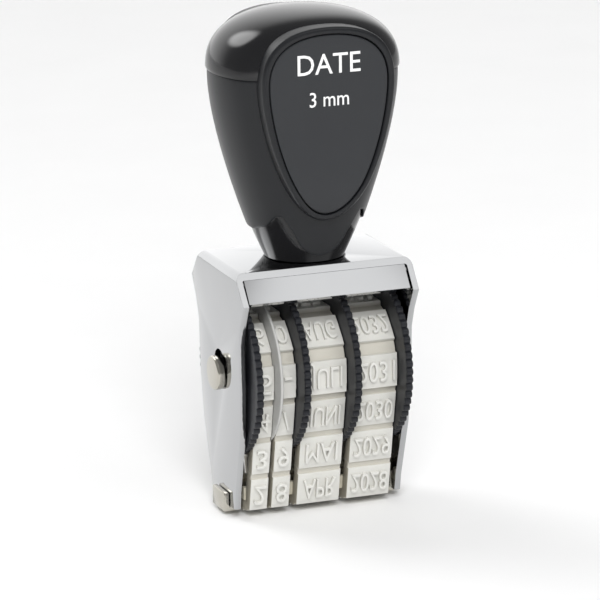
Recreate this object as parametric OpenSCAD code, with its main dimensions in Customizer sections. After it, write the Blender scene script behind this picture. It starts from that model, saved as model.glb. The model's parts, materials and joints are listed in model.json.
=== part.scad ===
// Rotary date stamp: four thumb wheels turn four rubber date bands on one axle, between the
// side plates of a bent sheet-metal frame, under a moulded grip.
// Millimetres. X runs along the axle, Y to the back, Z up. The origin is the middle of the
// printing face that the stamp stands on.

/* [Thumb wheels] */
// Radius of a thumb wheel over its teeth
wheel_r = 12.4; // [11.6:0.1:15]
// Thickness of a thumb wheel's rim
rim_t = 1; // [0.7:0.05:1.4]
// Number of teeth round a thumb wheel
teeth = 63; // [48:1:96]
// Depth of the teeth
tooth_h = 0.4; // [0.25:0.05:0.7]
// Wall of a drum that carries a band
drum_wall = 1.2; // [0.8:0.1:1.8]
// Wall of the boss that runs on the axle
boss_wall = 1.3; // [0.8:0.1:2]

/* [Date bands] */
// Inside radius of a band where it turns over its drum
band_in_r = 7.05; // [6.2:0.05:7.8]
// Thickness of a band, web and pad together
band_t = 1.8; // [1.4:0.1:2.2]
// Thickness of a band's web between its pads
web_t = 1.5; // [1:0.05:1.6]
// Width of each of the two day bands
day_w = 2.75; // [2.2:0.05:4]
// Width of the month band
month_w = 6.7; // [5:0.1:9]
// Width of the year band
year_w = 6.75; // [5:0.05:9]
// Number of pads on each band
pads = 12; // [11:1:13]
// Length of a pad along its band
pad_len = 5; // [4:0.1:5.2]
// Height of the raised characters
type_h = 0.5; // [0.3:0.05:0.8]
// Length of a row of raised characters along its band
type_len = 3; // [2.4:0.1:3.8]
// Bare edge of a pad on each side of its characters
type_margin = 0.35; // [0.2:0.05:0.6]

/* [Separator disc] */
// Radius of the plain disc between the two day bands
disc_r = 11.3; // [10:0.1:12]
// Thickness of the plain disc
disc_t = 0.45; // [0.3:0.05:0.8]

/* [Axle] */
// Height of the axle above the printing face
axle_z = 21.3; // [19.8:0.1:24]
// Radius of the axle
axle_r = 2.1; // [1.6:0.05:2.6]
// How far the axle's head reaches out beyond the axle
head_lip = 0.45; // [0.3:0.05:0.8]
// Thickness of the axle's head
head_t = 1.1; // [0.7:0.1:1.6]
// Upward play of the axle in its slots
slot_rise = 1.3; // [0.6:0.1:2]
// Depth of the groove that holds the retaining clip
groove_d = 0.5; // [0.3:0.05:0.8]
// Thickness of the retaining clip
clip_t = 0.5; // [0.4:0.05:0.8]
// Width of the retaining clip's ring
clip_w = 1.5; // [1:0.1:2]

/* [Frame] */
// Thickness of the frame's sheet
sheet_t = 0.9; // [0.7:0.05:1.2]
// Inside radius of the two side bends
bend_in_r = 0.3; // [0.15:0.05:0.8]
// Inward lean of each side plate in degrees
lean = 1; // [0:0.25:1.5]
// Height of the frame's top face above the printing face
top_z = 37.8; // [36.5:0.1:46]
// Half depth of the flat top
top_half = 7.4; // [7.2:0.1:10]
// Distance that each sloped lip reaches out beyond the flat top
lip_out = 3; // [2:0.1:4]
// Height of each sloped lip
lip_h = 4; // [3:0.1:5]
// How far the side plates reach out beyond the lips
shoulder = 0.5; // [0.2:0.1:1]
// Half depth of the side plates at their waist
waist_half = 8.4; // [7.6:0.1:9.5]
// Half depth of the side plates at their bottom edge
foot_half = 4.7; // [3.6:0.1:6]
// Height of the side plates' bottom edge above the printing face
plate_z = 1.5; // [1.3:0.1:2]

/* [Platen] */
// Half depth of the platen pad that the bands turn under
pad_half = 3.5; // [3.2:0.1:4.2]
// Thickness of the platen pad's floor
floor_t = 0.65; // [0.4:0.05:1]
// Height of the platen pad's side walls above its floor
wall_h = 1.3; // [1:0.1:1.8]
// Thickness of the platen strap
strap_t = 0.8; // [0.5:0.05:1]
// Half depth of the platen strap
strap_half = 2.5; // [2:0.1:3]
// Height of the strap's outer hooks above the plates' bottom edge
hook_h = 2; // [1:0.1:3]

/* [Grip] */
// Radius of the grip's shell at its seam with the cap
grip_r = 13.8; // [12.5:0.1:18]
// How far the cap stands out over the shell
cap_over = 0.25; // [0.1:0.05:0.5]
// Half thickness of the grip between its flat front and rear
grip_half = 9.6; // [9:0.1:11]
// Radius of the grip core's foot
foot_r = 5.8; // [5:0.1:6.6]
// Height of the seam between shell and cap above the frame
seam_h = 28; // [25:0.5:36]
// Height of the cap above the seam
dome_h = 8.8; // [8:0.1:14]
// Wall of the shell round the core
shell_t = 0.6; // [0.5:0.05:1.2]
// Wall of the cap
cap_t = 1.8; // [1.2:0.1:2.5]

/* [Name plates] */
// Half width of the recessed label
label_half = 9; // [7:0.1:9.2]
// Distance from the seam down to the label's bottom
label_drop = 20; // [17:0.5:21]
// Distance from the seam up to the label's top
label_rise = 6.3; // [5:0.1:6.6]
// Width of the rim round the label
rim_w = 1.15; // [0.8:0.05:1.4]
// Thickness of the rim in front of the grip
rim_proud = 1.15; // [0.6:0.05:1.4]
// Depth of the label's face behind the rim's face
label_deep = 0.2; // [0.1:0.05:0.4]

/* [Fastener] */
// Radius of the grip screw
screw_r = 1.5; // [1.2:0.05:2]
// Depth of the grip screw in the core
screw_in = 12; // [8:0.5:16]
// Radius of the screw head
screw_head_r = 2.7; // [2.5:0.1:3]
// Height of the screw head
screw_head_h = 1.6; // [1.2:0.1:1.8]
// Thickness of the washer
washer_t = 0.5; // [0.3:0.05:0.6]

/* [Clearances] */
// Gap between a rim and its neighbours along the axle
side_gap = 0.1; // [0.08:0.01:0.2]
// Gap between the outer wheels and the side plates
plate_gap = 0.15; // [0.1:0.05:0.3]
// Running clearance on the radius of the axle and the drums
run_gap = 0.08; // [0.03:0.01:0.1]
// Gap between pieces that are pushed together
seat_gap = 0.05; // [0.03:0.01:0.1]

/* [Hidden] */
$fn = 96;
through = 60;     // longer than any piece, for cuts that go right through

// Places along the axle, left to right
stack_w = 4 * rim_t + 2 * day_w + month_w + year_w + disc_t + 8 * side_gap;
tens_rim_x = -stack_w / 2;
tens_band_x = tens_rim_x + rim_t + side_gap;
disc_x = tens_band_x + day_w + side_gap;
units_band_x = disc_x + disc_t + side_gap;
units_rim_x = units_band_x + day_w + side_gap;
month_band_x = units_rim_x + rim_t + side_gap;
month_rim_x = month_band_x + month_w + side_gap;
year_band_x = month_rim_x + rim_t + side_gap;
year_rim_x = year_band_x + year_w + side_gap;

// Frame
bend_r = bend_in_r + sheet_t;
lean_per_mm = tan(lean);
lean_at_wheel = lean_per_mm * (top_z - (axle_z - wheel_r));
frame_w = stack_w + 2 * (plate_gap + sheet_t + lean_at_wheel);
function plate_out(z) = frame_w / 2 - lean_per_mm * (top_z - z);
function plate_in(z) = plate_out(z) - sheet_t;
lip_bottom_z = top_z - lip_h;
lip_half = top_half + lip_out;
waist_z = axle_z + wheel_r / 2;
taper_z = axle_z - wheel_r / 4;

// Axle
bore_r = axle_r + run_gap;
head_r = axle_r + head_lip;
head_x = plate_out(axle_z + head_r) + side_gap;
clip_x = plate_out(axle_z + axle_r + clip_w) + side_gap;

// Band path round the drum and under the platen
drum_r = band_in_r - run_gap;
corner_z = type_h + band_t;
neutral = 0.45;                      // depth of the band's cord layer, which doesn't stretch
rise = axle_z - corner_z;
centre_gap = norm([pad_half, rise]);
side_angle = atan2(rise, -pad_half) - acos(-band_in_r / centre_gap);
flat_len = pad_half;
corner_len = neutral * (90 + side_angle) * PI / 180;
side_len = sqrt(centre_gap * centre_gap - band_in_r * band_in_r);
drum_len = (band_in_r + neutral) * (90 - side_angle) * PI / 180;
half_len = flat_len + corner_len + side_len + drum_len;
pad_pitch = 2 * half_len / pads;

// Platen
strap_z = corner_z + seat_gap + floor_t;
leg_x = plate_in(plate_z) - side_gap;
hook_x = plate_out(plate_z + hook_h) + side_gap;
hook_bottom = plate_z - seat_gap - strap_t;

// Grip
seam_z = top_z + seam_h;
crown_z = seam_z + dome_h;
core_r = grip_r - shell_t;
core_half = grip_half - shell_t;
core_top_z = seam_z - 2.4;
rim_face_y = grip_half + rim_proud;
apex_z = top_z + 7.5;                // top of the notches in the shell's lower edge
tab_z = top_z + 4.8;                 // lowest point of the shell's side tabs
tongue_z = top_z + 1.25;             // lowest point of the shell's tongues
apex_x = 6;                          // half width of a tongue at the notches
apex_y = 6.4;                        // half width of a tab at the notches
tab_flat = 1.2;                      // half width of a tab's straight lower edge
tongue_r = 4;                        // radius of a tongue's rounded end

// Points on a cubic curve with n steps
function curve(a, b, c, d, n = 10) =
    [for (i = [0 : n]) let (t = i / n, u = 1 - t)
        u * u * u * a + 3 * u * u * t * b + 3 * u * t * t * c + t * t * t * d];

// Lays a drawing of [y, z] out along X, from x to x + w
module along_x(x, w) {
    translate([x, 0, 0]) rotate([90, 0, 90]) linear_extrude(w) children();
}

// Lays a drawing of [x, z] out along Y, from y to y + d
module along_y(y, d) {
    translate([0, y + d, 0]) rotate([90, 0, 0]) linear_extrude(d) children();
}

module axle_hole(r, w = through) {
    translate([-w / 2, 0, axle_z]) rotate([0, 90, 0]) cylinder(r = r, h = w);
}

// ---- Frame ----

module side_outline() {
    half = [[top_half - bend_r / 2, top_z + 1],
            [top_half + shoulder, top_z - sheet_t / 2],
            [lip_half + shoulder, lip_bottom_z - shoulder / 2],
            [waist_half + 0.9, lip_bottom_z - 3.4],
            [waist_half, waist_z],
            [waist_half, taper_z + 2],
            [waist_half - 0.8, taper_z - 5.4],
            [foot_half + 0.4, plate_z + 2.6],
            [foot_half, plate_z]];
    n = len(half);
    polygon(concat(half, [for (i = [1 : n]) [-half[n - i][0], half[n - i][1]]]));
}

// The area under the bent strap, seen from the front and drawn in by e
module strap_area(e) {
    r = bend_r - e;
    bend_x = frame_w / 2 - bend_r;
    bend_z = top_z - bend_r;
    side = [bend_x + r * cos(lean), bend_z - r * sin(lean)];
    foot = [bend_x + (r - (bend_z + e) * sin(lean)) / cos(lean), -e];
    for (s = [-1, 1]) translate([s * bend_x, bend_z]) circle(r = r);
    polygon([[-bend_x, bend_z + r], [bend_x, bend_z + r], side, foot, [-foot[0], foot[1]], [-side[0], side[1]]]);
}

module bent_strap() {
    along_y(-lip_half - 2, 2 * lip_half + 4) difference() {
        strap_area(0);
        strap_area(sheet_t);
    }
}

module lip() {
    lip_w = frame_w - 2 * (sheet_t + 0.3);
    slope = atan2(lip_h, lip_out);
    along_x(-lip_w / 2, lip_w) {
        translate([top_half - sheet_t / 2, top_z - sheet_t]) circle(r = sheet_t);
        translate([top_half - 3, top_z - sheet_t]) square([3 - sheet_t / 2, sheet_t]);
        translate([top_half - sheet_t / 2, top_z - sheet_t]) rotate(-slope)
            square([norm([lip_out, lip_h]) - sheet_t / 2, sheet_t]);
    }
}

module frame() {
    color([0.80, 0.81, 0.82]) difference() {
        union() {
            intersection() {
                bent_strap();
                along_x(-through / 2, through) side_outline();
            }
            lip();
            mirror([0, 1, 0]) lip();
        }
        axle_hole(bore_r);
        translate([0, 0, slot_rise]) axle_hole(bore_r);
        translate([-through / 2, -bore_r, axle_z]) cube([through, 2 * bore_r, slot_rise]);
        translate([0, 0, top_z - 2]) cylinder(r = screw_r + run_gap, h = 4);
        translate([-through / 2, -lip_half - 2, -10]) cube([through, 2 * lip_half + 4, 10 + plate_z]);
    }
}

// ---- Wheels, disc and axle ----

module toothed_disc(x) {
    along_x(x, rim_t) translate([0, axle_z])
        polygon([for (i = [0 : 2 * teeth - 1]) let (a = i * 180 / teeth, r = wheel_r - (i % 2) * tooth_h)
            [r * cos(a), r * sin(a)]]);
}

module tube_x(x, w, r_out, r_in) {
    along_x(x, w) translate([0, axle_z]) difference() {
        circle(r = r_out);
        circle(r = r_in);
    }
}

// A thumb wheel's rim at rim_x, with its drum and boss from drum_x on
module thumb_wheel(rim_x, drum_x, drum_w) {
    difference() {
        toothed_disc(rim_x);
        axle_hole(bore_r);
    }
    tube_x(drum_x, drum_w, drum_r, drum_r - drum_wall);
    tube_x(drum_x, drum_w, bore_r + boss_wall, bore_r);
}

module day_tens_wheel() {
    color([0.10, 0.11, 0.13]) thumb_wheel(tens_rim_x, tens_rim_x + rim_t, side_gap + day_w);
}

module day_units_wheel() {
    color([0.10, 0.11, 0.13]) thumb_wheel(units_rim_x, units_band_x, day_w + side_gap);
}

module month_wheel() {
    color([0.10, 0.11, 0.13]) thumb_wheel(month_rim_x, month_band_x, month_w + side_gap);
}

module year_wheel() {
    color([0.10, 0.11, 0.13]) thumb_wheel(year_rim_x, year_band_x, year_w + side_gap);
}

module separator_disc() {
    color([0.55, 0.56, 0.56]) tube_x(disc_x, disc_t, disc_r, bore_r);
}

module axle() {
    end_x = head_x + head_t;
    chamfer = 0.2;
    color([0.75, 0.72, 0.66]) difference() {
        translate([0, 0, axle_z]) rotate([0, 90, 0]) rotate_extrude() polygon([
            [0, -head_x - head_t], [head_r - chamfer, -head_x - head_t], [head_r, -head_x - head_t + chamfer],
            [head_r, -head_x], [axle_r, -head_x], [axle_r, end_x - chamfer], [axle_r - chamfer, end_x],
            [0, end_x]]);
        tube_x(clip_x, clip_t + 2 * seat_gap, axle_r + 1, axle_r - groove_d);
    }
}

// Snap ring, open at the bottom, in the axle's groove
module axle_clip() {
    mouth = 1.5 * (axle_r - groove_d);
    color([0.45, 0.45, 0.46]) difference() {
        tube_x(clip_x + seat_gap, clip_t, axle_r + clip_w, axle_r - groove_d + seat_gap);
        translate([clip_x - 1, -mouth / 2, axle_z - through]) cube([clip_t + 2, mouth, through]);
    }
}

// ---- Bands ----

// The area inside a band, grown outward by e
module belt_area(e) {
    n = [cos(side_angle), sin(side_angle)];
    low = [pad_half, corner_z] + e * n;
    high = [0, axle_z] + (band_in_r + e) * n;
    translate([0, axle_z]) circle(r = band_in_r + e);
    if (e > 0) for (s = [-1, 1]) translate([s * pad_half, corner_z]) circle(r = e);
    polygon([[-pad_half, corner_z - e], [pad_half, corner_z - e], low, high, [0, axle_z],
             [-high[0], high[1]], [-low[0], low[1]]]);
}

// Place and direction [y, z, angle] at a distance s along half a band, from the bottom up
function half_path(s) =
    s < flat_len ? [s, corner_z - neutral, 0] :
    s < flat_len + corner_len ?
        let (a = -90 + (s - flat_len) / neutral * 180 / PI)
        [pad_half + neutral * cos(a), corner_z + neutral * sin(a), a + 90] :
    s < flat_len + corner_len + side_len ?
        let (d = s - flat_len - corner_len)
        [pad_half + neutral * cos(side_angle) - d * sin(side_angle),
         corner_z + neutral * sin(side_angle) + d * cos(side_angle), side_angle + 90] :
        let (a = side_angle + (s - flat_len - corner_len - side_len) / (band_in_r + neutral) * 180 / PI)
        [(band_in_r + neutral) * cos(a), axle_z + (band_in_r + neutral) * sin(a), a + 90];

// The same for a whole band
function band_path(s) =
    s <= half_len ? half_path(s) :
    let (p = half_path(2 * half_len - s)) [-p[0], p[1], 360 - p[2]];

// Draws a block of the given length, from depth a to depth b outside the neutral layer, on each pad
module on_pads(length, a, b) {
    for (i = [0 : pads - 1]) let (p = band_path(i * pad_pitch))
        translate([p[0], p[1]]) rotate(p[2]) translate([-length / 2, -b]) square([length, b - a]);
}

module band(x, w) {
    along_x(x, w) difference() {
        union() {
            belt_area(web_t);
            on_pads(pad_len, 0, band_t - neutral);
        }
        belt_area(0);
    }
    along_x(x + type_margin, w - 2 * type_margin)
        on_pads(type_len, band_t - neutral - seat_gap, band_t - neutral + type_h);
}

module day_tens_band() {
    color([0.86, 0.86, 0.83]) band(tens_band_x, day_w);
}

module day_units_band() {
    color([0.86, 0.86, 0.83]) band(units_band_x, day_w);
}

module month_band() {
    color([0.86, 0.86, 0.83]) band(month_band_x, month_w);
}

module year_band() {
    color([0.86, 0.86, 0.83]) band(year_band_x, year_w);
}

// ---- Platen ----

module platen_pad() {
    half_w = leg_x - strap_t - seat_gap;
    low = corner_z + seat_gap;
    deep = pad_half - seat_gap;
    channel = strap_half + seat_gap;
    color([0.88, 0.85, 0.74]) along_x(-half_w, 2 * half_w) difference() {
        translate([-deep, low]) square([2 * deep, floor_t + wall_h]);
        translate([-channel, strap_z]) square([2 * channel, wall_h + 1]);
    }
}

// One end of the strap: down inside the plate, under its edge and up outside it
module strap_hook() {
    translate([leg_x - strap_t, hook_bottom]) square([strap_t, strap_z + strap_t - hook_bottom]);
    translate([leg_x - strap_t, hook_bottom]) square([hook_x + 2 * strap_t - leg_x, strap_t]);
    translate([hook_x, hook_bottom]) square([strap_t, plate_z + hook_h - hook_bottom]);
}

module platen_strap() {
    color([0.75, 0.72, 0.66]) along_y(-strap_half, 2 * strap_half) {
        translate([-leg_x, strap_z]) square([2 * leg_x, strap_t]);
        strap_hook();
        mirror([1, 0]) strap_hook();
    }
}

// ---- Grip ----

// A turned solid cut flat at front and rear
module flattened(half) {
    intersection() {
        rotate_extrude() children();
        translate([-through / 2, -half, 0]) cube([through, 2 * half, 2 * through]);
    }
}

module shell_outer() {
    side = curve([foot_r + 0.8, top_z + 0.4], [foot_r + 3.1, top_z + 5.4],
                 [grip_r + 0.3, seam_z - 7.8], [grip_r, seam_z]);
    flattened(grip_half) polygon(concat([[0, top_z + 0.4]], side, [[0, seam_z]]));
}

// The core's outer form, grown outward by e
module core_form(e) {
    side = curve([foot_r + e, top_z], [foot_r + 3.2 + e, top_z + 5],
                 [core_r + 0.1 + e, seam_z - 8], [core_r + e, core_top_z]);
    flattened(core_half + e) polygon(concat([[0, top_z]], side, [[0, core_top_z]]));
}

module cap_outer() {
    cap_r = grip_r + cap_over;
    side = curve([cap_r, seam_z], [cap_r, seam_z + 0.6 * dome_h], [0.71 * cap_r, crown_z], [0, crown_z]);
    flattened(grip_half) polygon(concat([[0, seam_z]], side));
}

module handle_core() {
    color([0.04, 0.04, 0.05]) difference() {
        core_form(0);
        translate([0, 0, top_z - 1]) cylinder(r = screw_r + seat_gap, h = screw_in + 2);
    }
}

// The shell's lower edge: a tongue at front and rear and a short tab on each side
module shell_reach() {
    translate([-through / 2, -through / 2, apex_z]) cube([through, through, through]);
    along_y(-through / 2, through) {
        translate([0, tongue_z + tongue_r]) circle(r = tongue_r);
        polygon([[-apex_x, apex_z], [-0.96 * tongue_r, tongue_z + 0.72 * tongue_r],
                 [0.96 * tongue_r, tongue_z + 0.72 * tongue_r], [apex_x, apex_z]]);
    }
    along_x(-through / 2, through)
        polygon([[-apex_y, apex_z], [-0.72 * apex_y, tab_z + 1], [-0.47 * apex_y, tab_z + 0.5],
                 [-tab_flat, tab_z], [tab_flat, tab_z],
                 [0.47 * apex_y, tab_z + 0.5], [0.72 * apex_y, tab_z + 1], [apex_y, apex_z]]);
}

module handle_shell() {
    color([0.16, 0.17, 0.18]) intersection() {
        difference() {
            shell_outer();
            core_form(seat_gap);
            translate([0, 0, core_top_z - 1]) linear_extrude(5) flat_ring(core_r + seat_gap, core_half + seat_gap);
        }
        shell_reach();
    }
}

// A circle cut flat at front and rear
module flat_ring(r, half) {
    intersection() {
        circle(r = r);
        square([4 * r, 2 * half], center = true);
    }
}

module handle_cap() {
    inside = curve([grip_r - cap_t, seam_z], [grip_r - cap_t, seam_z + 0.45 * dome_h],
                   [0.55 * grip_r, crown_z - cap_t], [0, crown_z - cap_t]);
    color([0.05, 0.05, 0.06]) {
        difference() {
            cap_outer();
            flattened(grip_half - cap_t) polygon(concat([[0, seam_z - 1], [grip_r - cap_t, seam_z - 1]], inside));
        }
        translate([0, 0, core_top_z + seat_gap]) linear_extrude(seam_z - core_top_z + 0.5) difference() {
            flat_ring(core_r, core_half);
            flat_ring(core_r - 1, core_half - 1);
        }
    }
}

// Egg outline of the label, grown outward by e
module egg(e) {
    top = seam_z + label_rise + e;
    low = seam_z - label_drop - e;
    wide = label_half + e;
    right = concat(
        curve([0, top], [0.6 * wide, top], [wide, top - 2.1], [wide, seam_z - 0.6]),
        curve([wide, seam_z - 0.6], [wide, seam_z - 7.3], [0.57 * wide, low], [0, low]));
    n = len(right);
    polygon(concat(right, [for (i = [1 : n - 2]) [-right[n - 1 - i][0], right[n - 1 - i][1]]]));
}

// Side view of a name plate whose face stands at y = -face and curls in at its lower end
module plate_side(face) {
    curl = 14;
    curl_z = seam_z - 14.5;
    low = seam_z - label_drop - 2;
    drop = curl_z - low;
    polygon(concat(
        [[0, crown_z], [-face, crown_z]],
        [for (i = [0 : 8]) let (d = drop * i / 8) [-face + curl - sqrt(curl * curl - d * d), curl_z - d]],
        [[0, low]]));
}

module name_plate(face) {
    difference() {
        intersection() {
            along_y(-through / 2, through / 2) children();
            along_x(-through / 2, through) plate_side(face);
        }
        shell_outer();
        cap_outer();
    }
}

module rim_plate() {
    name_plate(rim_face_y) difference() {
        egg(rim_w);
        egg(seat_gap);
    }
}

module label_plate() {
    name_plate(rim_face_y - label_deep) egg(0);
}

module front_rim() {
    color([0.20, 0.21, 0.22]) rim_plate();
}

module front_label() {
    color([0.18, 0.19, 0.20]) label_plate();
}

module rear_rim() {
    color([0.20, 0.21, 0.22]) mirror([0, 1, 0]) rim_plate();
}

module rear_label() {
    color([0.18, 0.19, 0.20]) mirror([0, 1, 0]) label_plate();
}

module handle_washer() {
    color([0.70, 0.70, 0.70]) translate([0, 0, top_z - sheet_t - washer_t]) difference() {
        cylinder(r = screw_head_r + 0.5, h = washer_t);
        translate([0, 0, -1]) cylinder(r = screw_r + run_gap, h = washer_t + 2);
    }
}

module handle_screw() {
    seat_z = top_z - sheet_t - washer_t;
    color([0.65, 0.65, 0.66]) difference() {
        union() {
            translate([0, 0, seat_z - screw_head_h]) cylinder(r = screw_head_r, h = screw_head_h);
            translate([0, 0, seat_z - 0.5]) cylinder(r = screw_r, h = top_z + screw_in - seat_z + 0.5);
        }
        translate([-0.4, -screw_head_r, seat_z - screw_head_h - 1]) cube([0.8, 2 * screw_head_r, 1.7]);
    }
}

frame();
handle_core();
handle_shell();
handle_cap();
front_rim();
front_label();
rear_rim();
rear_label();
handle_screw();
handle_washer();
axle();
axle_clip();
day_tens_wheel();
day_units_wheel();
month_wheel();
year_wheel();
separator_disc();
day_tens_band();
day_units_band();
month_band();
year_band();
platen_pad();
platen_strap();
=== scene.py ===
import json
import math
import bpy
from mathutils import Matrix, Vector

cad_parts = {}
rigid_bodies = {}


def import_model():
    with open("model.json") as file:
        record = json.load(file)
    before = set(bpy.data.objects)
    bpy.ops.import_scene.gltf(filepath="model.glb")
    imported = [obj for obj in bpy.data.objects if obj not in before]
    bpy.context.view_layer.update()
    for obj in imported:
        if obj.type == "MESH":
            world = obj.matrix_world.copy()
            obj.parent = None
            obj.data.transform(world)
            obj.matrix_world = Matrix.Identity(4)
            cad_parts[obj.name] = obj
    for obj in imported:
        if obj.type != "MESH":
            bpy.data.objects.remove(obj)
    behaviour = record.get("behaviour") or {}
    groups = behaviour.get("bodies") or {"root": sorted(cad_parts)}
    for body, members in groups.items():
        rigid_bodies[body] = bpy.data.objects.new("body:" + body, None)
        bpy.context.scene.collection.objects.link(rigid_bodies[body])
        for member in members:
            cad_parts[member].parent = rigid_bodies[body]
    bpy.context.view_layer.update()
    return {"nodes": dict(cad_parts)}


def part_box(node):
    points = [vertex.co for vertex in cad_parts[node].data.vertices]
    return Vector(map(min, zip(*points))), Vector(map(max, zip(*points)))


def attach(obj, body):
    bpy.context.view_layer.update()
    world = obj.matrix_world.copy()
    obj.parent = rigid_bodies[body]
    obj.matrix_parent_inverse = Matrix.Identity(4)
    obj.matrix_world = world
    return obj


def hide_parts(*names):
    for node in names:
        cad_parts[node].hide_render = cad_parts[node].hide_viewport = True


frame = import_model()
scene = bpy.context.scene
mm = 0.001  # sizes below are in millimetres, about the middle of the printing face
weldGap = 0.002  # points nearer than this are merged


# Lowest and highest corner of a CAD node, in millimetres
def span(node):
    low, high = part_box(node)
    return Vector(low) / mm, Vector(high) / mm


axleZ = sum(corner.z for corner in span("separator_disc")) / 2
topZ = span("frame")[1].z
crownZ = span("handle_cap")[1].z


# Shader helpers: a wire is one output, and sums on wires add Math nodes

class Wire:
    def __init__(self, tree, socket):
        self.tree = tree
        self.socket = socket

    def calc(self, operation, a, b):
        node = self.tree.nodes.new("ShaderNodeMath")
        node.operation = operation
        for slot, value in zip(node.inputs, (a, b)):
            if isinstance(value, Wire):
                self.tree.links.new(value.socket, slot)
            else:
                slot.default_value = value
        return Wire(self.tree, node.outputs[0])

    def __add__(self, other):
        return self.calc("ADD", self, other)

    def __sub__(self, other):
        return self.calc("SUBTRACT", self, other)

    def __rsub__(self, other):
        return self.calc("SUBTRACT", other, self)

    def __mul__(self, other):
        return self.calc("MULTIPLY", self, other)

    __radd__ = __add__
    __rmul__ = __mul__


class Graph:
    def __init__(self, tree):
        self.tree = tree
        self.tree.nodes.clear()

    def node(self, kind, settings=None, inputs=None, out=0):
        made = self.tree.nodes.new(kind)
        for name, value in (settings or {}).items():
            setattr(made, name, value)
        for name, value in (inputs or {}).items():
            slot = made.inputs[name]
            if isinstance(value, Wire):
                self.tree.links.new(value.socket, slot)
            elif slot.type == "RGBA":
                slot.default_value = (*value, 1)
            else:
                slot.default_value = value
        return Wire(self.tree, made.outputs[out]) if made.outputs else None

    # Takes a value from one range to another, held at both ends
    def remap(self, value, low, high, toLow=0.0, toHigh=1.0, curve="SMOOTHSTEP"):
        inputs = {"Value": value, "From Min": low, "From Max": high, "To Min": toLow, "To Max": toHigh}
        return self.node("ShaderNodeMapRange", {"interpolation_type": curve}, inputs)


class Finish(Graph):
    def __init__(self, name):
        self.material = bpy.data.materials.new(name)
        self.material.use_nodes = True
        super().__init__(self.material.node_tree)
        self.place = self.node("ShaderNodeTexCoord", out="Object")

    # Noise whose spots are about the given size in millimetres
    def noise(self, size, detail=2.0, stretch=None):
        spot = self.place
        if stretch:
            spot = self.node("ShaderNodeMapping", inputs={"Vector": spot, "Scale": stretch})
        inputs = {"Vector": spot, "Scale": 1 / (size * mm), "Detail": detail}
        return self.node("ShaderNodeTexNoise", inputs=inputs)

    def blend(self, amount, first, second):
        return self.node("ShaderNodeMix", {"data_type": "RGBA"}, {0: amount, 6: first, 7: second}, 2)

    def bump(self, height, depth, strength=1.0):
        inputs = {"Height": height, "Distance": depth * mm, "Strength": strength}
        return self.node("ShaderNodeBump", inputs=inputs)

    def surface(self, color, roughness, metallic=0.0, normal=None, **fixed):
        inputs = {"Base Color": color, "Roughness": roughness, "Metallic": metallic, **fixed}
        if normal:
            inputs["Normal"] = normal
        shader = self.node("ShaderNodeBsdfPrincipled", inputs=inputs)
        self.node("ShaderNodeOutputMaterial", inputs={"Surface": shader})


# Modelling helpers

def deselectAll():
    if bpy.context.object and bpy.context.object.mode != "OBJECT":
        bpy.ops.object.mode_set(mode="OBJECT")
    for thing in bpy.context.view_layer.objects:
        thing.select_set(False)


def pick(*things):
    deselectAll()
    for thing in things:
        thing.select_set(True)
    bpy.context.view_layer.objects.active = things[0]


def editAll(thing):
    pick(thing)
    bpy.ops.object.mode_set(mode="EDIT")
    bpy.ops.mesh.select_all(action="SELECT")


def mergeAndTurnOut(thing):
    editAll(thing)
    bpy.ops.mesh.remove_doubles(threshold=weldGap * mm)
    bpy.ops.mesh.normals_make_consistent(inside=False)
    bpy.ops.object.mode_set(mode="OBJECT")


def settle(thing, name, angle=35):
    pick(thing)
    bpy.ops.object.transform_apply(location=True, rotation=True, scale=True)
    for modifier in list(thing.modifiers):
        bpy.ops.object.modifier_apply(modifier=modifier.name)
    mergeAndTurnOut(thing)
    bpy.ops.object.shade_smooth_by_angle(angle=math.radians(angle))
    thing.name = name
    thing.data.name = name
    return thing


def dress(thing, body, finish, slot, *nodes):
    thing.data.materials.clear()
    thing.data.materials.append(finish.material)
    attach(thing, body)
    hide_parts(*nodes)


def roundEdges(thing, width, segments=2, angle=30):
    bevel = thing.modifiers.new("edges", "BEVEL")
    bevel.width = width * mm
    bevel.segments = segments
    bevel.limit_method = "ANGLE"
    bevel.angle_limit = math.radians(angle)
    bevel.miter_outer = "MITER_ARC"


# A copy of a CAD node with its edges rounded
def softCopy(node, name, width, segments):
    thing = frame["nodes"][node].copy()
    thing.data = frame["nodes"][node].data.copy()
    for key in list(thing.keys()):
        del thing[key]
    thing.parent = None
    scene.collection.objects.link(thing)
    editAll(thing)
    bpy.ops.mesh.remove_doubles(threshold=weldGap * mm)
    bpy.ops.mesh.customdata_custom_splitnormals_clear()
    bpy.ops.mesh.dissolve_limited(angle_limit=math.radians(1))
    bpy.ops.object.mode_set(mode="OBJECT")
    roundEdges(thing, width, segments)
    return settle(thing, name)


# Spins a closed outline of (along the axle, out from it) points round the axle
def turnOnAxle(outline, steps):
    deselectAll()
    bpy.ops.mesh.primitive_circle_add(vertices=len(outline), radius=mm)
    thing = bpy.context.active_object
    for vertex, (along, out) in zip(thing.data.vertices, outline):
        vertex.co = Vector((along, 0, axleZ + out)) * mm
    editAll(thing)
    bpy.ops.mesh.spin(steps=steps, angle=2 * math.pi, center=(0, 0, axleZ * mm), axis=(1, 0, 0))
    mergeAndTurnOut(thing)
    return thing


# Rolls a grid into the shape that place(round, up) gives, each from 0 to 1
def wrapGrid(columns, rows, place):
    deselectAll()
    bpy.ops.mesh.primitive_grid_add(x_subdivisions=columns, y_subdivisions=rows, size=1)
    thing = bpy.context.active_object
    for vertex in thing.data.vertices:
        vertex.co = Vector(place(vertex.co.x + 0.5, vertex.co.y + 0.5)) * mm
    mergeAndTurnOut(thing)
    return thing


# Point on a cubic curve
def cubic(a, b, c, d, t):
    u = 1 - t
    weights = (u ** 3, 3 * u * u * t, 3 * u * t * t, t ** 3)
    return tuple(sum(w * p[i] for w, p in zip(weights, (a, b, c, d))) for i in (0, 1))


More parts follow.
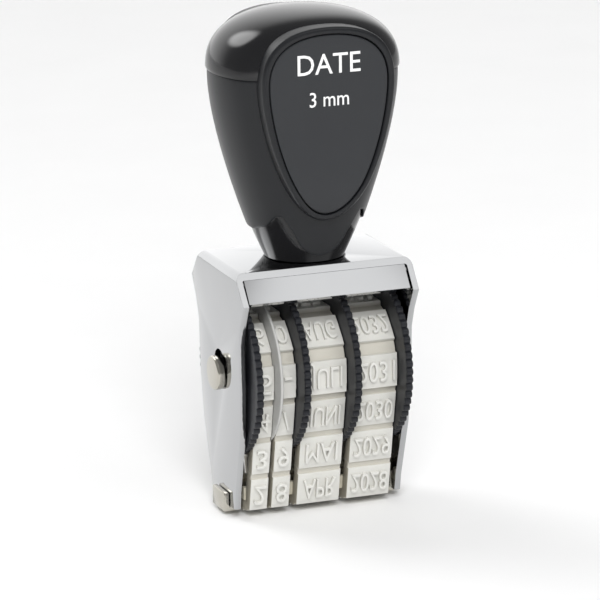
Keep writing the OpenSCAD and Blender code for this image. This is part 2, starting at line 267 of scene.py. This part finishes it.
# Point at a share of the way along a run of points
def along(points, share):
    spot = min(max(share, 0), 1) * (len(points) - 1)
    first = min(int(spot), len(points) - 2)
    part = spot - first
    return tuple(a + (b - a) * part for a, b in zip(points[first], points[first + 1]))


# Halves a range again and again towards the last value that is still short
def lastShort(low, high, isShort, rounds=24):
    for _ in range(rounds):
        middle = (low + high) / 2
        low, high = (middle, high) if isShort(middle) else (low, middle)
    return low


# Camera, floor and light

camera = {"turn": -21.09, "rise": 14.757, "roll": -0.606, "distance": 600, "lens": 245.7, "sensor": 36,
          "near": 0.01, "far": 20, "aimRight": -0.68, "aimUp": 30.75}


def makeCamera():
    turn, rise, roll = (math.radians(camera[k]) for k in ("turn", "rise", "roll"))
    back = Vector((math.sin(turn) * math.cos(rise), -math.cos(turn) * math.cos(rise), math.sin(rise)))
    right = Vector((math.cos(turn), math.sin(turn), 0))
    up = back.cross(right)
    aim = right * camera["aimRight"] + Vector((0, 0, camera["aimUp"]))
    tiltedRight = right * math.cos(roll) + up * math.sin(roll)
    tiltedUp = up * math.cos(roll) - right * math.sin(roll)
    data = bpy.data.cameras.new("camera")
    data.lens = camera["lens"]
    data.sensor_width = camera["sensor"]
    data.clip_start = camera["near"]
    data.clip_end = camera["far"]
    holder = bpy.data.objects.new("camera", data)
    turned = Matrix((tiltedRight, tiltedUp, back)).transposed().to_4x4()
    holder.matrix_world = Matrix.Translation((aim + back * camera["distance"]) * mm) @ turned
    scene.collection.objects.link(holder)
    scene.camera = holder


studio = {"floorSize": 6, "low": 0.45, "overhead": 0.4, "behind": 1.35, "seenWhite": 1.05,
          "fill": {"place": (-0.3, -0.95, 0.85), "aim": (0, 0, 0.03), "size": 0.7, "power": 12},
          "boxes": [{"aim": (-0.41, 0.59, 0.68), "glow": 5.5, "edge": 0.945, "core": 0.992},
                    {"aim": (0.35, -0.50, 0.79), "glow": 1.25, "edge": 0.86, "core": 0.975}]}


def areaLight(name, place, aim, size, power):
    data = bpy.data.lights.new(name, "AREA")
    data.shape = "DISK"
    data.size = size
    data.energy = power
    lamp = bpy.data.objects.new(name, data)
    lamp.location = place
    lamp.rotation_euler = (Vector(aim) - Vector(place)).to_track_quat("-Z", "Y").to_euler()
    lamp.visible_glossy = False  # it fills shadows and leaves no spot in the gloss
    scene.collection.objects.link(lamp)


def makeFloor():
    deselectAll()
    bpy.ops.mesh.primitive_plane_add(size=studio["floorSize"])
    floor = bpy.context.active_object
    floor.name = "floor"
    paper = Finish("floor_paper")
    fibre = paper.noise(25, 3)
    paper.surface(color=paper.blend(fibre, (0.91, 0.91, 0.91), (0.94, 0.94, 0.94)), roughness=0.8)
    floor.data.materials.append(paper.material)


# A pale surround that brightens behind, with a soft round box behind the left shoulder and one
# over the front
def makeSurround():
    world = bpy.data.worlds.new("studio")
    scene.world = world
    world.use_nodes = True
    sky = Graph(world.node_tree)
    way = sky.node("ShaderNodeTexCoord", out="Generated")
    height = sky.node("ShaderNodeSeparateXYZ", inputs={0: way}, out="Z")
    depth = sky.node("ShaderNodeSeparateXYZ", inputs={0: way}, out="Y")
    level = sky.remap(height, 0.05, 0.95, studio["low"], studio["overhead"], "LINEAR")
    level = level + sky.remap(depth, 0.5, 0.9, 0, studio["behind"])
    for box in studio["boxes"]:
        facing = sky.node("ShaderNodeVectorMath", {"operation": "DOT_PRODUCT"},
                          {0: way, 1: Vector(box["aim"]).normalized()}, "Value")
        level = level + sky.remap(facing, box["edge"], box["core"], 0, box["glow"], "SMOOTHERSTEP")
    glow = sky.node("ShaderNodeBackground", inputs={"Strength": level})
    white = sky.node("ShaderNodeBackground", inputs={"Strength": studio["seenWhite"]})
    seen = sky.node("ShaderNodeLightPath", out="Is Camera Ray")
    shown = sky.node("ShaderNodeMixShader", inputs={0: seen, 1: glow, 2: white})
    sky.node("ShaderNodeOutputWorld", inputs={"Surface": shown})


makeCamera()
makeFloor()
makeSurround()
areaLight("front_fill", **studio["fill"])
scene.view_settings.view_transform = "Standard"
print("camera and studio ready")


# Finishes

def chromeFinish():
    f = Finish("bright_chrome")
    haze = f.noise(9, 3)
    scuffs = f.noise(0.5, 4, (1, 6, 1))
    f.surface(color=f.blend(haze, (0.465, 0.47, 0.48), (0.515, 0.52, 0.525)),
              roughness=0.045 + haze * 0.05 + f.remap(scuffs, 0.62, 0.8, 0, 0.08),
              metallic=1.0, normal=f.bump(f.noise(14, 1), 0.12, 0.35))
    return f


def plasticFinish(name, dark, light, roughness, grain, depth, shine=0.5):
    f = Finish(name)
    cloud = f.noise(7, 3)
    fine = f.noise(grain, 3)
    rubbed = f.remap(f.noise(2.2, 4), 0.6, 0.8)
    f.surface(color=f.blend(cloud, dark, light),
              roughness=roughness + (cloud - 0.5) * 0.08 + rubbed * 0.05,
              normal=f.bump(fine, depth, 0.5), **{"Specular IOR Level": shine})
    return f


def platedFinish(name, dark, light, roughness):
    f = Finish(name)
    cloud = f.noise(3, 3)
    brushed = f.noise(0.25, 3, (1, 8, 8))
    f.surface(color=f.blend(cloud, dark, light), roughness=roughness + brushed * 0.12, metallic=1.0,
              normal=f.bump(brushed, 0.004, 0.4))
    return f


# Band rubber: painted shade makes it darker and yellower low between the pads and darker on its cut sides
# that face the gaps between bands; it is paler in patches on the tops of the characters
def rubberFinish():
    f = Finish("band_rubber")
    proud = f.node("ShaderNodeAttribute", {"attribute_name": "proud"}, out="Fac")
    cloud = f.noise(2.5, 4)
    speck = f.noise(0.18, 4)
    body = f.blend(cloud, (0.63, 0.625, 0.585), (0.70, 0.695, 0.66))
    # painted shade: the web, low between the pads, is made darker and yellower
    low = f.blend(f.remap(proud, 0.05, 0.6), (0.55, 0.53, 0.47), body)
    # painted shade: faces turned sideways, the cut sides that stand in the narrow gaps between bands, are
    # darkened
    facing = f.node("ShaderNodeTexCoord", out="Normal")
    sideways = f.node("ShaderNodeMath", {"operation": "ABSOLUTE"},
                      {0: f.node("ShaderNodeSeparateXYZ", inputs={0: facing}, out="X")})
    sideShadeMask = f.remap(sideways, 0.75, 0.97) * (1 - f.remap(proud, 0.62, 0.75))
    low = f.blend(sideShadeMask, low, (0.36, 0.335, 0.275))
    # paler in patches on the tops of the characters
    paleTops = f.blend(f.remap(proud, 0.7, 1.0) * (0.35 + cloud * 0.5), low, (0.74, 0.735, 0.70))
    f.surface(color=paleTops, roughness=0.6 + (speck - 0.5) * 0.16 - proud * 0.05,
              normal=f.bump(speck, 0.02, 0.6))
    return f


chrome = chromeFinish()
glossBlack = plasticFinish("gloss_black", (0.004, 0.004, 0.005), (0.006, 0.006, 0.007), 0.12, 0.9, 0.003)
satinBlack = plasticFinish("satin_black", (0.007, 0.0075, 0.009), (0.011, 0.012, 0.014),
                           0.34, 0.16, 0.012, 0.34)
labelBlack = plasticFinish("label_black", (0.020, 0.021, 0.024), (0.027, 0.029, 0.032),
                           0.45, 0.14, 0.016, 0.4)
wheelBlack = plasticFinish("wheel_black", (0.011, 0.012, 0.015), (0.018, 0.019, 0.023),
                           0.36, 0.3, 0.01, 0.34)
discGrey = plasticFinish("disc_grey", (0.46, 0.46, 0.445), (0.54, 0.54, 0.525), 0.38, 0.4, 0.006)
creamPlastic = plasticFinish("cream_plastic", (0.66, 0.62, 0.49), (0.74, 0.70, 0.58), 0.42, 0.3, 0.008)
printWhite = plasticFinish("print_white", (0.80, 0.80, 0.80), (0.88, 0.88, 0.88), 0.5, 0.2, 0.006)
nickel = platedFinish("nickel_plate", (0.47, 0.45, 0.395), (0.56, 0.54, 0.48), 0.14)
zinc = platedFinish("zinc_plate", (0.55, 0.56, 0.58), (0.66, 0.67, 0.68), 0.22)
springSteel = platedFinish("spring_steel", (0.16, 0.16, 0.17), (0.26, 0.26, 0.27), 0.3)
bandRubber = rubberFinish()
print("finishes ready")


# Frame and fittings: the CAD shapes with their edges rounded
# Each has its name, body, finish, slot, edge width and number of edge segments

fittings = {
    "frame": ("chromed_frame", "stamp_body", chrome, "chromed_sheet", 0.26, 3),
    "axle": ("headed_axle", "axle_pin", nickel, "nickel_steel", 0.12, 2),
    "axle_clip": ("snap_ring", "axle_pin", springSteel, "spring_steel", 0.08, 2),
    "platen_strap": ("hooked_strap", "stamp_body", nickel, "nickel_steel", 0.15, 2),
    "platen_pad": ("channel_pad", "stamp_body", creamPlastic, "cream_plastic", 0.12, 2),
    "handle_screw": ("slotted_screw", "stamp_body", zinc, "zinc_steel", 0.12, 2),
    "handle_washer": ("flat_washer", "stamp_body", zinc, "zinc_steel", 0.08, 2)}

for node, (name, body, finish, slot, width, segments) in fittings.items():
    dress(softCopy(node, name, width, segments), body, finish, slot, node)
print("frame and fittings ready")


# Thumb wheels: a rim of rounded ridges with a drum and a boss on one side of it

wheels = {"teeth": 63, "perTooth": 6, "ridge": 0.4, "rim": 1.0, "edge": 0.14, "drumOut": 6.97, "drumIn": 5.77,
          "bossOut": 3.48, "bore": 2.18, "dish": 0.1, "dishEdge": 1.3, "dishFoot": 1.4, "ridgeFoot": 0.62,
          "sides": {"day_tens_wheel": 1, "day_units_wheel": -1, "month_wheel": -1, "year_wheel": -1}}


def wheelOutline(radius, length):
    w = wheels
    e, rim, dish, foot = w["edge"], w["rim"], w["dish"], w["ridgeFoot"]
    return [(0, radius - e), (0.3 * e, radius - 0.3 * e), (e, radius), (rim - e, radius),
            (rim - 0.3 * e, radius - 0.3 * e), (rim, radius - e), (rim, radius - foot), (rim, w["drumOut"]),
            (length - e, w["drumOut"]), (length, w["drumOut"] - e), (length, w["drumIn"]), (rim, w["drumIn"]),
            (rim, w["bossOut"]), (length, w["bossOut"]), (length, w["bore"]), (e, w["bore"]),
            (0, w["bore"] + e), (0, w["bossOut"]), (dish, w["bossOut"] + dish),
            (dish, radius - w["dishFoot"]), (0, radius - w["dishEdge"]), (0, radius - foot)]


def ridgeWheel(thing, radius):
    w = wheels
    for vertex in thing.data.vertices:
        y, z = vertex.co.y / mm, vertex.co.z / mm - axleZ
        out = math.hypot(y, z)
        if out > radius - 2 * w["edge"]:  # ridges with round tops and sharp valleys
            across = (math.atan2(y, z) / (2 * math.pi) * w["teeth"]) % 1 * 2 - 1
            share = 1 - w["ridge"] * across * across / out
            vertex.co.y *= share
            vertex.co.z = (axleZ + z * share) * mm


def makeWheel(node, side):
    low, high = span(node)
    outer = low.x if side > 0 else high.x
    radius = (high.z - low.z) / 2
    outline = [(outer + side * a, r) for a, r in wheelOutline(radius, high.x - low.x)]
    thing = turnOnAxle(outline, wheels["teeth"] * wheels["perTooth"])
    ridgeWheel(thing, radius)
    settle(thing, node.replace("wheel", "thumb_wheel"), 40)
    dress(thing, node.replace("wheel", "drive"), wheelBlack, "wheel_black", node)


disc = {"steps": 160, "edgeSteps": 6}


def makeDisc():
    low, high = span("separator_disc")
    radius = (high.z - low.z) / 2
    w = high.x - low.x
    r = w / 2
    angles = (math.pi * i / disc["edgeSteps"] for i in range(disc["edgeSteps"] + 1))
    rounded = [(low.x + r - r * math.cos(a), radius - r + r * math.sin(a)) for a in angles]
    outline = rounded + [(high.x, wheels["bore"]), (low.x, wheels["bore"])]
    thing = settle(turnOnAxle(outline, disc["steps"]), "spacer_disc")
    dress(thing, "loose_disc", discGrey, "disc_grey", "separator_disc")


for wheelNode, wheelSide in wheels["sides"].items():
    makeWheel(wheelNode, wheelSide)
makeDisc()
print("wheels and disc ready")


# Bands: a web with twelve flat pads, each with a row of raised characters

band = {"inR": 7.05, "thick": 1.8, "web": 1.5, "pads": 12, "padLen": 5.0, "cord": 0.45, "platenHalf": 3.5,
        "typeHigh": 0.5, "typeLen": 3.0, "steps": 4, "gapSteps": 4, "padProud": 0.6, "edge": 0.1,
        "sink": 0.05,
        "typeWide": {"day_tens_band": 1.75, "day_units_band": 1.75, "month_band": 5.0, "year_band": 5.7}}
band["cornerZ"] = band["typeHigh"] + band["thick"]
dayTens = "10/-98765432"
dayUnits = "76543210-/98"
months = ["MAR", "FEB", "JAN", "DEZ", "NOV", "OKT", "SEP", "AUG", "JULI", "JUNI", "MAI", "APR"]
years = [str(2024 + (3 - i) % 12) for i in range(12)]


# Place (y, z) and direction on half a band's cord layer, from the middle of the platen up
def halfPath(s):
    b = band
    rise = axleZ - b["cornerZ"]
    gap = math.hypot(b["platenHalf"], rise)
    tilt = math.atan2(rise, -b["platenHalf"]) - math.acos(-b["inR"] / gap)
    cornerLen = b["cord"] * (math.pi / 2 + tilt)
    sideLen = math.sqrt(gap * gap - b["inR"] ** 2)
    reach = b["inR"] + b["cord"]
    if s < b["platenHalf"]:
        return s, b["cornerZ"] - b["cord"], 0
    s -= b["platenHalf"]
    if s < cornerLen:
        a = -math.pi / 2 + s / b["cord"]
        return (b["platenHalf"] + b["cord"] * math.cos(a), b["cornerZ"] + b["cord"] * math.sin(a),
                a + math.pi / 2)
    s -= cornerLen
    if s < sideLen:
        return (b["platenHalf"] + b["cord"] * math.cos(tilt) - s * math.sin(tilt),
                b["cornerZ"] + b["cord"] * math.sin(tilt) + s * math.cos(tilt), tilt + math.pi / 2)
    a = tilt + (s - sideLen) / reach
    return reach * math.cos(a), axleZ + reach * math.sin(a), a + math.pi / 2


bandHalf = lastShort(20.0, 60.0, lambda s: halfPath(s)[0] > 0, 26)
padPitch = 2 * bandHalf / band["pads"]


# Middle, way along and way out at a distance along the whole band
def bandSpot(s):
    s = s % (2 * bandHalf)
    if s <= bandHalf:
        y, z, a = halfPath(s)
    else:
        y, z, a = halfPath(2 * bandHalf - s)
        y, a = -y, -a
    return Vector((0, y, z)), Vector((0, math.cos(a), math.sin(a))), Vector((0, math.sin(a), -math.cos(a)))


# Distance along the band where the web comes out under a pad's end
def padEnd(centre, side):
    middle, forth, _ = bandSpot(centre)

    def underPad(half):
        spot, _, out = bandSpot(centre + side * half)
        reach = (spot + out * (band["web"] - band["cord"]) - middle).dot(forth) * side
        return reach < band["padLen"] / 2

    return centre + side * lastShort(1.2, band["padLen"] / 2 + 0.3, underPad)


# Point at a height over the cord layer
def overCord(s, height):
    spot, _, out = bandSpot(s)
    return spot + out * height


# Pairs of inner and outer points round a band, with how proud the outer one stands
def bandStations():
    b = band
    stations = []
    webTop = b["web"] - b["cord"]
    for i in range(b["pads"]):
        centre = i * padPitch
        first, last = padEnd(centre, -1), padEnd(centre, 1)
        middle, forth, out = bandSpot(centre)
        top = middle + out * (b["thick"] - b["cord"])
        stations.append((overCord(first, -b["cord"]), overCord(first, webTop), 0.0))
        for k in range(b["steps"] + 1):
            share = k / b["steps"]
            stations.append((overCord(first + (last - first) * share, -b["cord"]),
                             top + forth * b["padLen"] * (share - 0.5), b["padProud"]))
        following = padEnd(centre + padPitch, -1)
        for k in range(b["gapSteps"]):
            s = last + (following - last) * k / b["gapSteps"]
            stations.append((overCord(s, -b["cord"]), overCord(s, webTop), 0.0))
    return stations


def paintProud(thing, values):
    layer = thing.data.attributes.new("proud", "FLOAT", "POINT")
    for spot, value in zip(layer.data, values):
        spot.value = value


# A four-sided ring whose corners are laid on the stations
def bandLoop(x0, x1):
    stations = bandStations()
    corners = 4
    deselectAll()
    bpy.ops.mesh.primitive_torus_add(major_segments=len(stations), minor_segments=corners,
                                     major_radius=1, minor_radius=0.1)
    thing = bpy.context.active_object
    values = []
    for index, vertex in enumerate(thing.data.vertices):
        inside, outside, proud = stations[index // corners]
        corner = index % corners
        spot = (inside if corner in (0, 3) else outside).copy()
        spot.x = x0 if corner < 2 else x1
        vertex.co = spot * mm
        values.append(0 if corner in (0, 3) else proud)
    paintProud(thing, values)
    roundEdges(thing, band["edge"], 2, 25)
    return settle(thing, "loop", 25)


# Raised lettering, in shares of the font's size
lettering = {"curveSteps": 3, "extrude": 0.04, "bevel": 0.01, "offset": -0.007, "capital": 0.688}


# A raised word in millimetres, centred, lying flat with its face up
def raisedWord(word, width, capHigh, height):
    deselectAll()
    bpy.ops.object.text_add()
    thing = bpy.context.active_object
    text = thing.data
    text.body = word
    text.size = 1
    text.resolution_u = lettering["curveSteps"]
    text.extrude = lettering["extrude"]
    text.bevel_depth = lettering["bevel"]
    text.offset = lettering["offset"]
    bpy.ops.object.convert(target="MESH")
    thing = bpy.context.active_object
    spots = [v.co for v in thing.data.vertices]
    left, right = min(c.x for c in spots), max(c.x for c in spots)
    deep = max(c.z for c in spots)
    tall = capHigh / lettering["capital"]
    wide = min(tall, width / (right - left))
    for vertex in thing.data.vertices:
        c = vertex.co
        c.x = (c.x - (left + right) / 2) * wide
        c.y = c.y * tall - capHigh / 2
        c.z = (c.z + deep) / (2 * deep) * height
    return thing


def rowOnPad(word, pad, x0, x1, width):
    b = band
    high = b["typeHigh"] + b["sink"]
    thing = raisedWord(word, width, b["typeLen"], high)
    middle, forth, out = bandSpot(pad * padPitch)
    base = middle + out * (b["thick"] - b["cord"] - b["sink"])
    base.x = (x0 + x1) / 2
    values = []
    for vertex in thing.data.vertices:
        c = vertex.co.copy()
        values.append(b["padProud"] + (1 - b["padProud"]) * c.z / high)
        vertex.co = (base + Vector((c.x, 0, 0)) + forth * c.y + out * c.z) * mm
    paintProud(thing, values)
    mergeAndTurnOut(thing)
    return thing


def makeBand(node, words):
    low, high = span(node)
    pieces = [bandLoop(low.x, high.x)]
    width = band["typeWide"][node]
    pieces += [rowOnPad(word, i, low.x, high.x, width) for i, word in enumerate(words)]
    pick(*pieces)
    bpy.ops.object.join()
    thing = settle(bpy.context.active_object, node.replace("band", "date_band"), 30)
    dress(thing, "stamp_body", bandRubber, "band_rubber", node)


makeBand("day_tens_band", dayTens)
makeBand("day_units_band", dayUnits)
makeBand("month_band", months)
makeBand("year_band", years)
print("bands ready")


# Grip: turned forms drawn in softly at front and rear

grip = {"seam": 28.0, "radius": 13.8, "half": 9.6, "soft": 4.6, "foot": 5.8, "wall": 0.3, "wallEdge": 0.1,
        "flank": [(0.8, 0.4), (3.1, 5.4), (0.3, 7.8)], "columns": 144, "rows": 56,
        "coreGap": 0.04, "coreTop": 25.6, "coreFoot": 0.35, "coreSteps": 44, "footDraw": 0.27, "footRise": 8.0,
        "capOver": 0.25, "capEdge": 0.3, "capSteps": 40, "capFoot": 0.05, "capDraw": 0.15,
        "capSide": 0.6, "capCrown": 0.71,
        "tongue": 1.25, "tongueR": 4.0, "tongueBend": 0.96, "tongueLift": 0.72, "tongueTurn": 0.6,
        "apex": 7.5, "apexX": 6.0,
        "tab": [(0, 4.8), (1.2, 4.8), (3.0, 5.3), (4.6, 5.8), (6.4, 7.5)]}
seamZ = topZ + grip["seam"]


# Draws a depth in softly so that it never passes the limit
def soften(depth, limit):
    k = grip["soft"]
    near = max(k - abs(depth - limit), 0) / k
    return min(depth, limit) - near * near * k / 4


def gripPoint(radius, z, turn, limit):
    x, y = radius * math.cos(turn), radius * math.sin(turn)
    return x, math.copysign(soften(abs(y), limit), y), z


# Radius of the turned shape at a height, on a curve that swells from foot to seam
def sideRadius(z, inset=0.0):
    g = grip
    (footOut, footUp), (bendOut, bendUp), (swellOut, swellDown) = g["flank"]
    ends = ((g["foot"] + footOut, topZ + footUp), (g["foot"] + bendOut, topZ + bendUp),
            (g["radius"] + swellOut, seamZ - swellDown), (g["radius"], seamZ))
    share = lastShort(0.0, 1.0, lambda t: cubic(*ends, t)[1] < z)
    return cubic(*ends, share)[0] - inset


def turnedGrip(profile, limit, name):
    g = grip
    thing = wrapGrid(g["columns"], len(profile) - 1,
                     lambda u, v: gripPoint(*along(profile, v), 2 * math.pi * u, limit))
    return settle(thing, name, 40)


def makeCap():
    g = grip
    r = g["radius"] + g["capOver"]
    e = g["capEdge"]
    foot = seamZ + g["capFoot"]
    ends = ((r, seamZ + e), (r, seamZ + g["capSide"] * (crownZ - seamZ)), (g["capCrown"] * r, crownZ),
            (0, crownZ))
    dome = [cubic(*ends, i / g["capSteps"]) for i in range(g["capSteps"] + 1)]
    profile = [(0, foot), (r - 3 * e, foot), (r - e, foot), (r - 0.3 * e, seamZ + 0.3 * e)]
    thing = turnedGrip(profile + dome, g["half"] + g["capDraw"], "domed_cap")
    dress(thing, "stamp_body", glossBlack, "gloss_black", "handle_cap")


def makeCore():
    g = grip
    top = topZ + g["coreTop"]
    inset = g["wall"] + g["coreGap"]

    def drawn(z):  # the core narrows a little more than the shell towards its foot
        return inset + g["footDraw"] * max(0, 1 - (z - topZ) / g["footRise"])

    steps = g["coreSteps"]
    base = topZ + g["coreFoot"]
    sideZ = [base + (top - topZ - g["coreFoot"]) * i / steps for i in range(steps + 1)]
    bottom = topZ + g["flank"][0][1]
    foot = sideRadius(bottom, drawn(bottom)) - 0.1
    profile = [(0, topZ), (foot - 0.3, topZ), (foot, topZ + 0.12)]
    profile += [(sideRadius(z, drawn(z)), z) for z in sideZ] + [(0, top)]
    thing = turnedGrip(profile, g["half"] - inset, "gloss_core")
    dress(thing, "stamp_body", glossBlack, "gloss_black", "handle_core")


# Height of the shell's lower edge: a tongue at front and rear and a short tab on each side
def shellEdge(turn):
    g = grip
    z = topZ + g["apex"]
    for _ in range(12):
        x, y, _ = gripPoint(sideRadius(z), z, turn, g["half"])
        x, y = abs(x), abs(y)
        bend = g["tongueBend"] * g["tongueR"]
        if x < bend:
            tongue = g["tongue"] + g["tongueR"] - math.sqrt(g["tongueR"] ** 2 - x * x)
        else:
            start = g["tongue"] + g["tongueLift"] * g["tongueR"]
            tongue = start + (g["apex"] - start) * (x - bend) / (g["apexX"] - bend)
        tab = g["apex"]
        for (y0, z0), (y1, z1) in zip(g["tab"], g["tab"][1:]):
            if y0 <= y < y1:
                tab = z0 + (z1 - z0) * (y - y0) / (y1 - y0)
        facing = y > x * g["tongueTurn"]
        z = (z + topZ + min(tongue if facing else g["apex"], tab, g["apex"])) / 2
    return z


def makeShell():
    g = grip
    edges = {}

    def place(u, v):
        turn = 2 * math.pi * u
        key = round(u * g["columns"])
        if key not in edges:
            edges[key] = shellEdge(turn)
        z = edges[key] + (seamZ - edges[key]) * v
        return gripPoint(sideRadius(z), z, turn, g["half"])

    thing = wrapGrid(g["columns"], g["rows"], place)
    wall = thing.modifiers.new("wall", "SOLIDIFY")
    wall.thickness = g["wall"] * mm
    wall.offset = -1
    roundEdges(thing, g["wallEdge"], 2, 50)
    dress(settle(thing, "satin_shell", 40), "stamp_body", satinBlack, "satin_black", "handle_shell")


makeCap()
makeCore()
makeShell()
print("grip ready")


# Name plates: an egg-shaped rim with a label set in it, curling in at the lower end

# Profile points are (how far out from the egg, how deep under the face)
plate = {"half": 9.0, "drop": 20.0, "rise": 6.3, "waist": -0.6, "crownWide": 0.6, "crownDrop": 2.1,
         "flankDrop": 7.3, "tipWide": 0.57, "face": 10.75, "deep": 0.2, "curl": 14.0, "curlFrom": 14.5,
         "back": 7.4, "backDeep": 4, "middle": -5, "round": 96, "labelSteps": 10,
         "rimOuter": [(0.12, 0.3), (0.2, 0.1), (0.38, 0.0), (0.75, 0.0), (0.97, 0.09), (1.1, 0.26),
                      (1.15, 0.5)],
         "labelEdge": [(0, 0.16), (-0.01, 0.03), (-0.03, 0)]}


# Egg outline at a share of the way round, grown outward by e
def egg(share, e):
    p = plate
    wide = p["half"] + e
    top, low = seamZ + p["rise"] + e, seamZ - p["drop"] - e
    share = share % 1
    side = 1 if share < 0.5 else -1
    t = share * 2 if side > 0 else (1 - share) * 2
    waist = (wide, seamZ + p["waist"])
    if t < 0.5:
        x, z = cubic((0, top), (p["crownWide"] * wide, top), (wide, top - p["crownDrop"]), waist, t * 2)
    else:
        x, z = cubic(waist, (wide, seamZ - p["flankDrop"]), (p["tipWide"] * wide, low), (0, low), t * 2 - 1)
    return side * x, z


# How far a face that stands at the given depth is drawn in at a height
def curled(face, z):
    drop = max(seamZ - plate["curlFrom"] - z, 0)
    return face - plate["curl"] + math.sqrt(plate["curl"] ** 2 - drop * drop)


def platePiece(profile, toCentre):
    p = plate

    def place(u, v):
        grow, depth = along(profile, v)
        if toCentre and grow < 0:
            x, z = egg(u, 0)
            share = 1 + grow
            x, z = x * share, seamZ + p["middle"] + (z - seamZ - p["middle"]) * share
        else:
            x, z = egg(u, grow)
        face = curled(p["face"], z) - depth
        return x, -max(face, p["back"]), z

    return wrapGrid(p["round"], len(profile) - 1, place)


def makePlates():
    p = plate
    (inner, _), (outer, _) = p["rimOuter"][0], p["rimOuter"][-1]
    rim = [(inner, p["backDeep"]), *p["rimOuter"], (outer + 0.05, p["backDeep"]), (inner, p["backDeep"])]
    label = [(-1, p["backDeep"]), (0, p["backDeep"])]
    label += [(out, p["deep"] + under) for out, under in p["labelEdge"]]
    edge = p["labelEdge"][-1][0]
    label += [(edge - (1 + edge) * i / p["labelSteps"], p["deep"]) for i in range(1, p["labelSteps"] + 1)]
    for side, name in ((1, "front"), (-1, "rear")):
        for profile, kind, finish, slot in ((rim, "rim", satinBlack, "satin_black"),
                                            (label, "label", labelBlack, "label_black")):
            thing = platePiece(profile, kind == "label")
            for vertex in thing.data.vertices:
                vertex.co.y *= side
            dress(settle(thing, name + "_egg_" + kind, 40), "stamp_body", finish, slot, name + "_" + kind)


# Plain marking on the front label
marking = {"words": [("DATE", 9.6, 2.9, 2.2), ("3 mm", 6.0, 2.1, -2.9)], "thick": 0.05}


def makeMarking():
    face = plate["face"] - plate["deep"]
    pieces = []
    for word, width, tall, up in marking["words"]:
        thing = raisedWord(word, width, tall, 2 * marking["thick"])
        for vertex in thing.data.vertices:
            c = vertex.co.copy()
            vertex.co = Vector((c.x, -(face - marking["thick"] + c.z), seamZ + up + c.y)) * mm
        pieces.append(thing)
    pick(*pieces)
    bpy.ops.object.join()
    thing = settle(bpy.context.active_object, "label_marking")
    thing.data.materials.append(printWhite.material)
    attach(thing, "stamp_body")


makePlates()
makeMarking()
print("name plates ready")
